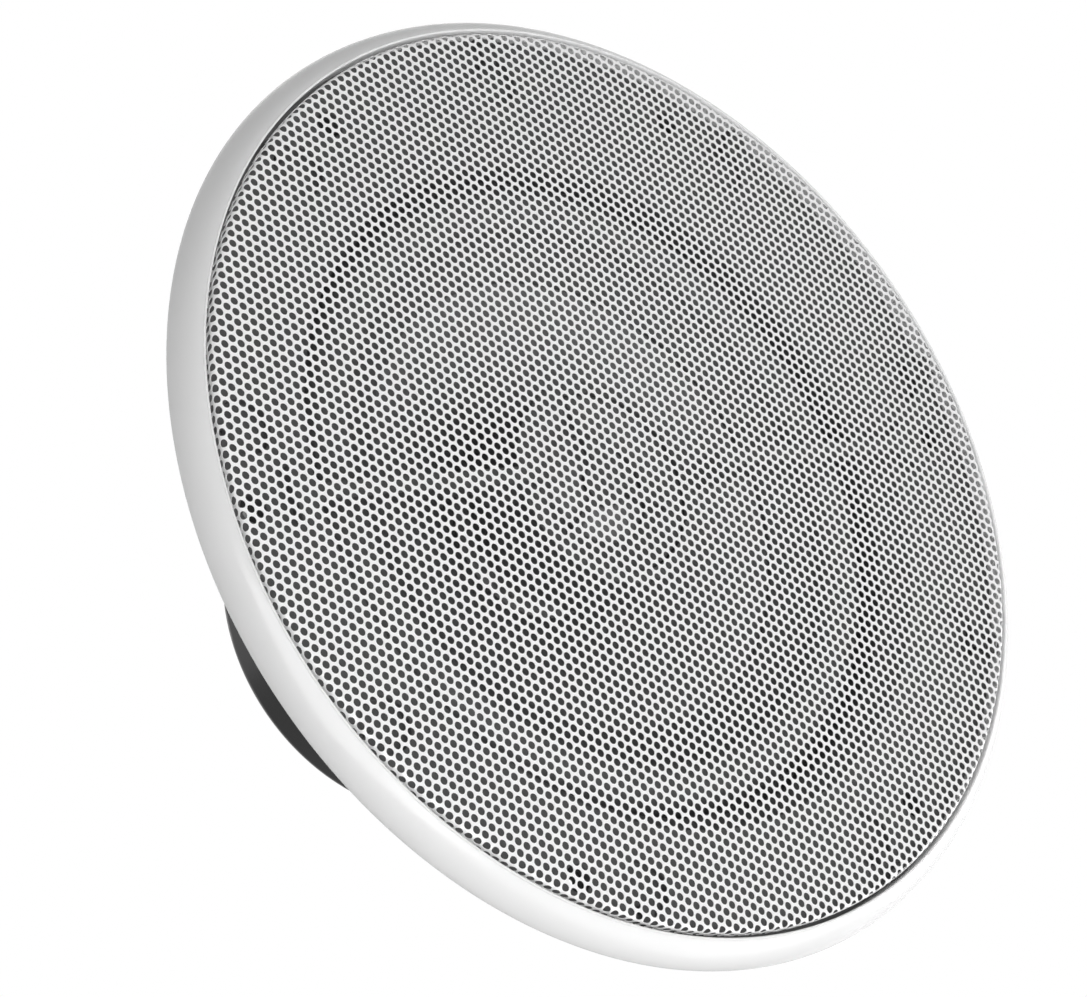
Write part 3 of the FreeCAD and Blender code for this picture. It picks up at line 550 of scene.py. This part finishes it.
def make_gasket():
    """A flat foam ring with softened edges and small pierced holes."""
    # A rim is its centre, its radius, the way in which its edge is softened, and its steps.
    rims = [(0.0, 0.0, GASKET_RADIUS, -1, GASKET_STEPS), (0.0, 0.0, GASKET_INNER, 1, GASKET_INNER_STEPS)]
    for i in range(MOUNT_COUNT):
        turn = math.radians(MOUNT_ANGLE + 360.0 * i / MOUNT_COUNT)
        x, z = MOUNT_CIRCLE * math.cos(turn), MOUNT_CIRCLE * math.sin(turn)
        rims.append((x, z, PIERCED_RADIUS, 1, PIERCED_STEPS))
    front, back = GASKET_LOW[1], GASKET_HIGH[1]
    layers = [
        (front, GASKET_EDGE),
        (front + GASKET_EDGE, 0.0),
        (back - GASKET_EDGE, 0.0),
        (back, GASKET_EDGE),
    ]
    points, loops = [], []
    for y, inset in layers:
        for x, z, radius, side, steps in rims:
            loops.append(list(range(len(points), len(points) + steps)))
            for i in range(steps):
                turn = 2 * math.pi * i / steps
                reach = radius + side * inset
                points.append((x + reach * math.cos(turn), y, z + reach * math.sin(turn)))
    count = len(points) // len(layers)
    flat = [Vector((x, z)) for x, y, z in points[:count]]
    sides = [(loop[i - 1], loop[i]) for loop in loops[:len(rims)] for i in range(len(loop))]
    triangles = delaunay_2d_cdt(flat, sides, [], 0, MERGE_DISTANCE)[2]
    faces = []
    for triangle in triangles:
        middle = sum((flat[i] for i in triangle), Vector((0.0, 0.0))) / 3
        pierced = any((middle - Vector((x, z))).length < radius for x, z, radius, _, _ in rims[1:])
        if not pierced:
            faces.append(tuple(triangle))
            faces.append(tuple(count * (len(layers) - 1) + i for i in reversed(triangle)))
    for layer in range(len(layers) - 1):
        first = count * layer
        for loop, (_, _, _, side, _) in zip(loops, rims):
            for i in range(len(loop)):
                a, b = first + loop[i - 1], first + loop[i]
                wall = (a, a + count, b + count, b)
                faces.append(wall if side < 0 else tuple(reversed(wall)))
    gasket = new_object("gasket_foam", points, faces)
    smooth(gasket, SOFT_SHARP)
    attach(gasket, "frame")
    dress(gasket, "foam_rubber", "gasket")


# Grille

FLAT_RADIUS = GRILLE_RADIUS - GRILLE_ROLL
DOME_RADIUS = (FLAT_RADIUS ** 2 + GRILLE_SAG ** 2) / (2 * GRILLE_SAG)
ROLL_LENGTH = GRILLE_ROLL * math.pi / 2
ROLL_BACK = GRILLE_CROWN + GRILLE_SAG + GRILLE_ROLL
BLANK_RADIUS = FLAT_RADIUS + ROLL_LENGTH + SKIRT_END - ROLL_BACK


def sheet_point(across, along, depth):
    """Forms the flat pierced sheet: a point of the blank goes to the dome, the rolled edge or the skirt."""
    reach = math.hypot(across, along)
    if reach <= FLAT_RADIUS:
        turn = reach / DOME_RADIUS
        radius = (DOME_RADIUS - depth) * math.sin(turn)
        y = GRILLE_CROWN + DOME_RADIUS - (DOME_RADIUS - depth) * math.cos(turn)
    elif reach <= FLAT_RADIUS + ROLL_LENGTH:
        turn = (reach - FLAT_RADIUS) / GRILLE_ROLL
        radius = FLAT_RADIUS + (GRILLE_ROLL - depth) * math.sin(turn)
        y = ROLL_BACK - (GRILLE_ROLL - depth) * math.cos(turn)
    else:
        radius = GRILLE_RADIUS - depth
        y = ROLL_BACK + reach - FLAT_RADIUS - ROLL_LENGTH
    share = radius / reach if reach else 0.0
    turned_by = math.radians(ROW_ANGLE)
    x, z = across * share, along * share
    return (
        x * math.cos(turned_by) - z * math.sin(turned_by) + GRILLE_SHIFT[0],
        y,
        x * math.sin(turned_by) + z * math.cos(turned_by) + GRILLE_SHIFT[1],
    )


def ring_faces(outer, inner, outer_angles, inner_angles):
    """Triangles between two closed loops that run the same way round the same centre."""
    faces = []
    i = j = 0
    while i < len(outer) or j < len(inner):
        next_outer = outer_angles[i + 1] if i + 1 < len(outer) else outer_angles[0] + 2 * math.pi
        next_inner = inner_angles[j + 1] if j + 1 < len(inner) else inner_angles[0] + 2 * math.pi
        a, b = outer[i % len(outer)], inner[j % len(inner)]
        if j >= len(inner) or (i < len(outer) and next_outer <= next_inner):
            faces.append((a, outer[(i + 1) % len(outer)], b))
            i += 1
        else:
            faces.append((a, inner[(j + 1) % len(inner)], b))
            j += 1
    return faces


def cell_spot(step, row):
    """Where a place of the hole pattern lies on the blank: half pitches along the row, and rows."""
    return (step / 2 + ROW_PHASE) * HOLE_PITCH, -(row + LINE_PHASE) * HOLE_PITCH


def cell_outline(step, row):
    """The corners of the brick round a hole and the middles of its long sides, anticlockwise."""
    low, high = row + 0.5, row - 0.5
    return [(step - 1, low), (step, low), (step + 1, low), (step + 1, high), (step, high), (step - 1, high)]


def hole_cells():
    """The bricks that lie on the blank, wholly or in part."""
    found = []
    reach = int(BLANK_RADIUS / HOLE_PITCH) + 2
    for row in range(-reach, reach + 1):
        for step in range(-2 * reach, 2 * reach + 1):
            if (step + row) % 2 == 0:
                corners = [cell_spot(*corner) for corner in cell_outline(step, row)]
                if min(math.hypot(*corner) for corner in corners) < BLANK_RADIUS:
                    found.append((step, row))
    return found


class Blank:
    """The points and triangles of one band of the flat sheet, trimmed to the blank's round edge."""

    def __init__(self):
        self.spots = []
        self.index = {}
        self.faces = []

    def add(self, spot):
        """The number of a point, which is pulled in to the blank's edge and added if it is new."""
        reach = math.hypot(*spot)
        if reach > BLANK_RADIUS:
            spot = (spot[0] * BLANK_RADIUS / reach, spot[1] * BLANK_RADIUS / reach)
        key = (round(spot[0], WELD_DIGITS), round(spot[1], WELD_DIGITS))
        if key not in self.index:
            self.index[key] = len(self.spots)
            self.spots.append(spot)
        return self.index[key]

    def reach(self, point):
        """A point's distance from the middle of the blank."""
        return math.hypot(*self.spots[point])

    def add_faces(self, faces):
        """Keeps the triangles that have an area on the blank; those beyond its edge leave notches."""
        for face in faces:
            trimmed = all(self.reach(point) > BLANK_RADIUS - WELD for point in face)
            if len(set(face)) == 3 and not trimmed:
                self.faces.append(face)

    def middle(self, a, b):
        """The middle of a side near the rolled edge, or None where the sheet is flat enough."""
        if max(self.reach(a), self.reach(b)) < FLAT_RADIUS:
            return None
        return self.add([(p + q) / 2 for p, q in zip(self.spots[a], self.spots[b])])

    def refine(self):
        """Splits the sides near the rolled edge, so that the roll is round."""
        finer = []
        for face in self.faces:
            loop, first = [], None
            for i in range(3):
                a, b = face[i], face[(i + 1) % 3]
                loop.append(a)
                half = self.middle(a, b)
                if half is not None and half not in (a, b):
                    first = len(loop) if first is None else first
                    loop.append(half)
            if first is not None:
                loop = loop[first:] + loop[:first]
            finer.extend((loop[0], loop[i], loop[i + 1]) for i in range(1, len(loop) - 1))
        self.faces = [face for face in finer if len(set(face)) == 3]


def make_grille():
    """The pierced sheet as bands of rows, each a closed mesh."""
    bricks = hole_cells()
    rows = sorted({row for step, row in bricks})
    # Rows are longest in the middle, so the cuts lie where the bands have about as many holes each.
    limits = [-math.inf]
    for row in rows:
        share = sum(1 for brick in bricks if brick[1] <= row) / len(bricks)
        if share >= len(limits) / GRILLE_BANDS and len(limits) < GRILLE_BANDS:
            limits.append(row + 0.5)
    limits.append(math.inf)
    corner_angles = [math.atan2(-row, step / 2) for step, row in cell_outline(0, 0)]
    for i in range(1, len(corner_angles)):
        while corner_angles[i] < corner_angles[i - 1]:
            corner_angles[i] += 2 * math.pi
    hole_angles = [corner_angles[0] + 2 * math.pi * (i + 0.5) / HOLE_SIDES for i in range(HOLE_SIDES)]
    for band in range(GRILLE_BANDS):
        blank = Blank()
        for step, row in bricks:
            if limits[band] < row < limits[band + 1]:
                across, along = cell_spot(step, row)
                outer = [blank.add(cell_spot(*corner)) for corner in cell_outline(step, row)]
                inner = [
                    blank.add((across + HOLE_RADIUS * math.cos(a), along + HOLE_RADIUS * math.sin(a)))
                    for a in hole_angles]
                blank.add_faces(ring_faces(outer, inner, corner_angles, hole_angles))
        blank.refine()
        count = len(blank.spots)
        points = [sheet_point(*spot, 0.0) for spot in blank.spots]
        points += [sheet_point(*spot, SHEET) for spot in blank.spots]
        sides = {(face[i], face[(i + 1) % 3]) for face in blank.faces for i in range(3)}
        back = [tuple(count + i for i in reversed(face)) for face in blank.faces]
        walls = [(b, a, count + a, count + b) for a, b in sides if (b, a) not in sides]
        piece = new_object(f"grille_band_{band + 1}", points, blank.faces + back + sorted(walls))
        smooth(piece, SHEET_SHARP)
        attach(piece, "frame")
        dress(piece, "white_painted_steel", "grille")


# Suspension


def bend_in_sectors(name, outline, slot, node):
    """A ring in sectors, each turned from the outline that reaches from the frame at one radius to the cone
    at the other.
    """
    sweep = 360.0 / SECTORS
    for i in range(SECTORS):
        piece = new_object(f"{name}_{i + 1}", *turned(outline, SECTOR_STEPS, i * sweep, sweep))
        smooth(piece, SOFT_SHARP)
        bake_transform(piece)
        dress(piece, slot, node)


def make_surround():
    """A half-roll of rubber between the basket's shelf and a land on the cone."""
    front = SHELF_DEPTH - SURROUND_SHEET
    half = (ROLL_OUTER - ROLL_INNER) / 2
    outer_arc = (half ** 2 + ROLL_HEIGHT ** 2) / (2 * ROLL_HEIGHT)
    inner_half, inner_height = half - SURROUND_SHEET, ROLL_HEIGHT - SURROUND_SHEET
    inner_arc = (inner_half ** 2 + inner_height ** 2) / (2 * inner_height)
    inner_start = (ROLL_INNER + SURROUND_SHEET, front)
    inner_end = (ROLL_OUTER - SURROUND_SHEET, front)
    outline = [
        (SURROUND_RADIUS, SHELF_DEPTH),
        (SURROUND_RADIUS, front + SURROUND_EDGE),
        (SURROUND_RADIUS - SURROUND_EDGE, front),
        *arc((ROLL_OUTER, front), (ROLL_INNER, front), -outer_arc, ROLL_STEPS),
        (ROLL_INNER, front),
        (LAND_RADIUS + LAND_BREAK, LAND_DEPTH - LAND_RISE),
        (LAND_RADIUS, LAND_DEPTH + SURROUND_EDGE),
        (LAND_RADIUS, LAND_DEPTH + SURROUND_SHEET),
        *arc(inner_start, inner_end, inner_arc, ROLL_INNER_STEPS),
        inner_end,
        (ROLL_OUTER - SURROUND_SHEET, SHELF_DEPTH),
    ]
    bend_in_sectors("surround_sector", outline, "black_rubber", "surround")


def make_spider():
    """A treated cloth ring in smooth waves between the former and the basket's rear shelf."""
    pitch = (SPIDER_LAND - SPIDER_INNER) / (SPIDER_RIDGES + 0.5)
    crest, trough = SPIDER_LOW[1], SPIDER_HIGH[1] - SPIDER_SHEET - SPIDER_GAP
    start = SPIDER_INNER + pitch / 4
    front = [(SPIDER_INNER, trough)]
    for i in range(SPIDER_RIDGES * WAVE_STEPS + 1):
        swing = math.cos(2 * math.pi * i / WAVE_STEPS)
        front.append((start + pitch * i / WAVE_STEPS, (crest + trough) / 2 + (trough - crest) / 2 * swing))
    front.append((SPIDER_RADIUS, trough))
    outline = front + [(radius, y + SPIDER_SHEET) for radius, y in reversed(front)]
    outline.reverse()
    bend_in_sectors("spider_sector", outline, "spider_cloth", "spider")


def make_leads():
    """Two braided leads that arch from the terminal block to the back of the cone."""
    half = math.radians(LEAD_SWEEP / 2)
    middle_y = LEAD_HIGH[1] - LEAD_RADIUS - LEAD_BEND
    middle_z = (LEAD_LOW[2] + LEAD_HIGH[2]) / 2
    steps, sides = LEAD_STEPS, LEAD_SIDES
    across = Vector((1.0, 0.0, 0.0))
    for side in (-1, 1):
        x = side * (LEAD_HIGH[0] - LEAD_RADIUS)
        points = []
        for i in range(steps + 1):
            turn = half - 2 * half * i / steps
            out = Vector((0.0, math.cos(turn), math.sin(turn)))
            center = Vector((x, middle_y, middle_z)) + out * LEAD_BEND
            for j in range(sides):
                roll = 2 * math.pi * j / sides
                around = out * math.cos(roll) + across * math.sin(roll)
                points.append(center + around * LEAD_RADIUS)
        faces = []
        for i in range(steps):
            for j in range(sides):
                k = (j + 1) % sides
                faces.append((i * sides + j, (i + 1) * sides + j, (i + 1) * sides + k, i * sides + k))
        faces.append(tuple(range(sides)))
        faces.append(tuple(reversed(range(steps * sides, (steps + 1) * sides))))
        lead = new_object(f"tinsel_lead_{'left' if side < 0 else 'right'}", points, faces)
        layer = lead.data.uv_layers.new(name="along")
        for loop in lead.data.loops:
            ring, spot = divmod(loop.vertex_index, sides)
            layer.data[loop.index].uv = (ring / steps, spot / sides)
        smooth(lead, SOFT_SHARP)
        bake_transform(lead)
        dress(lead, "lead_braid", "tinsel_leads")


make_trim_ring()
make_gasket()
make_grille()
make_surround()
make_spider()
make_leads()


# Stage, light and camera

def rays_that_see(tree):
    """One for the rays that show a background: straight to the camera, mirrored or through glass."""
    path = tree.nodes.new("ShaderNodeLightPath")
    seen = math_node(tree, "MAXIMUM", path.outputs["Is Camera Ray"], path.outputs["Is Glossy Ray"])
    return math_node(tree, "MAXIMUM", seen, path.outputs["Is Transmission Ray"])


def make_stage():
    """A plain pale floor well below the speaker, partly white to the rays that see it."""
    reach = FLOOR_REACH
    mesh = bpy.data.meshes.new("floor")
    corners = [(-reach, -reach), (reach, -reach), (reach, reach), (-reach, reach)]
    mesh.from_pydata([(x, y, FLOOR_HEIGHT) for x, y in corners], [], [(0, 1, 2, 3)])
    floor = bpy.data.objects.new("floor", mesh)
    bpy.context.scene.collection.objects.link(floor)
    dark, light = FLOOR_TONES
    tree, shader, _ = surface("floor", grey(dark), grey(light), FLOOR_ROUGHNESS)
    white = tree.nodes.new("ShaderNodeEmission")
    mixed = tree.nodes.new("ShaderNodeMixShader")
    tree.links.new(math_node(tree, "MULTIPLY", rays_that_see(tree), FLOOR_WHITE), mixed.inputs["Fac"])
    tree.links.new(shader.outputs["BSDF"], mixed.inputs[1])
    tree.links.new(white.outputs["Emission"], mixed.inputs[2])
    tree.links.new(mixed.outputs["Shader"], tree.nodes["Material Output"].inputs["Surface"])
    floor.data.materials.append(MATERIALS["floor"])


def make_world():
    """Plain white to the rays that see it; to the others a soft room, brightest behind the speaker."""
    world = bpy.data.worlds.new("studio")
    bpy.context.scene.world = world
    world.use_nodes = True
    tree = world.node_tree
    tree.nodes.clear()
    way = tree.nodes.new("ShaderNodeVectorMath")
    way.operation = "DOT_PRODUCT"
    way.inputs[1].default_value = Vector(ROOM_SIDE).normalized()
    tree.links.new(tree.nodes.new("ShaderNodeTexCoord").outputs["Generated"], way.inputs[0])
    level = spread(tree, way.outputs["Value"], ROOM_DIM, ROOM_BRIGHT, *ROOM_FADE)
    room = tree.nodes.new("ShaderNodeBackground")
    room.inputs["Color"].default_value = WHITE
    tree.links.new(level, room.inputs["Strength"])
    white = tree.nodes.new("ShaderNodeBackground")
    white.inputs["Color"].default_value = WHITE
    mixed = tree.nodes.new("ShaderNodeMixShader")
    tree.links.new(rays_that_see(tree), mixed.inputs["Fac"])
    tree.links.new(room.outputs["Background"], mixed.inputs[1])
    tree.links.new(white.outputs["Background"], mixed.inputs[2])
    output = tree.nodes.new("ShaderNodeOutputWorld")
    tree.links.new(mixed.outputs["Shader"], output.inputs["Surface"])


def make_lamp(name, place, size, power):
    """A soft lamp that faces the speaker; place, width and height in metres, power in watts."""
    lamp = bpy.data.objects.new(name, bpy.data.lights.new(name, "AREA"))
    lamp.data.shape = "RECTANGLE"
    lamp.data.size, lamp.data.size_y = size
    lamp.data.energy = power
    lamp.location = place
    lamp.rotation_euler = (-Vector(place)).to_track_quat("-Z", "Y").to_euler()
    bpy.context.scene.collection.objects.link(lamp)


def make_camera():
    """The photograph's camera, with the lens that was fitted to it."""
    camera = bpy.data.objects.new("camera", bpy.data.cameras.new("camera"))
    camera.data.sensor_fit = "HORIZONTAL"
    camera.data.sensor_width = SENSOR_WIDTH
    camera.data.lens = CAMERA_LENS
    camera.location = Vector(CAMERA_PLACE) * MM
    camera.rotation_euler = (math.radians(90.0 + CAMERA_RISE), 0.0, -math.radians(CAMERA_AZIMUTH))
    bpy.context.scene.collection.objects.link(camera)
    bpy.context.scene.camera = camera


make_stage()
make_world()
make_lamp("key", KEY_PLACE, KEY_SIZE, KEY_POWER)
make_lamp("front", FRONT_PLACE, FRONT_SIZE, FRONT_POWER)
make_lamp("side", SIDE_PLACE, SIDE_SIZE, SIDE_POWER)
make_camera()
bpy.context.scene.view_settings.view_transform = "Standard"
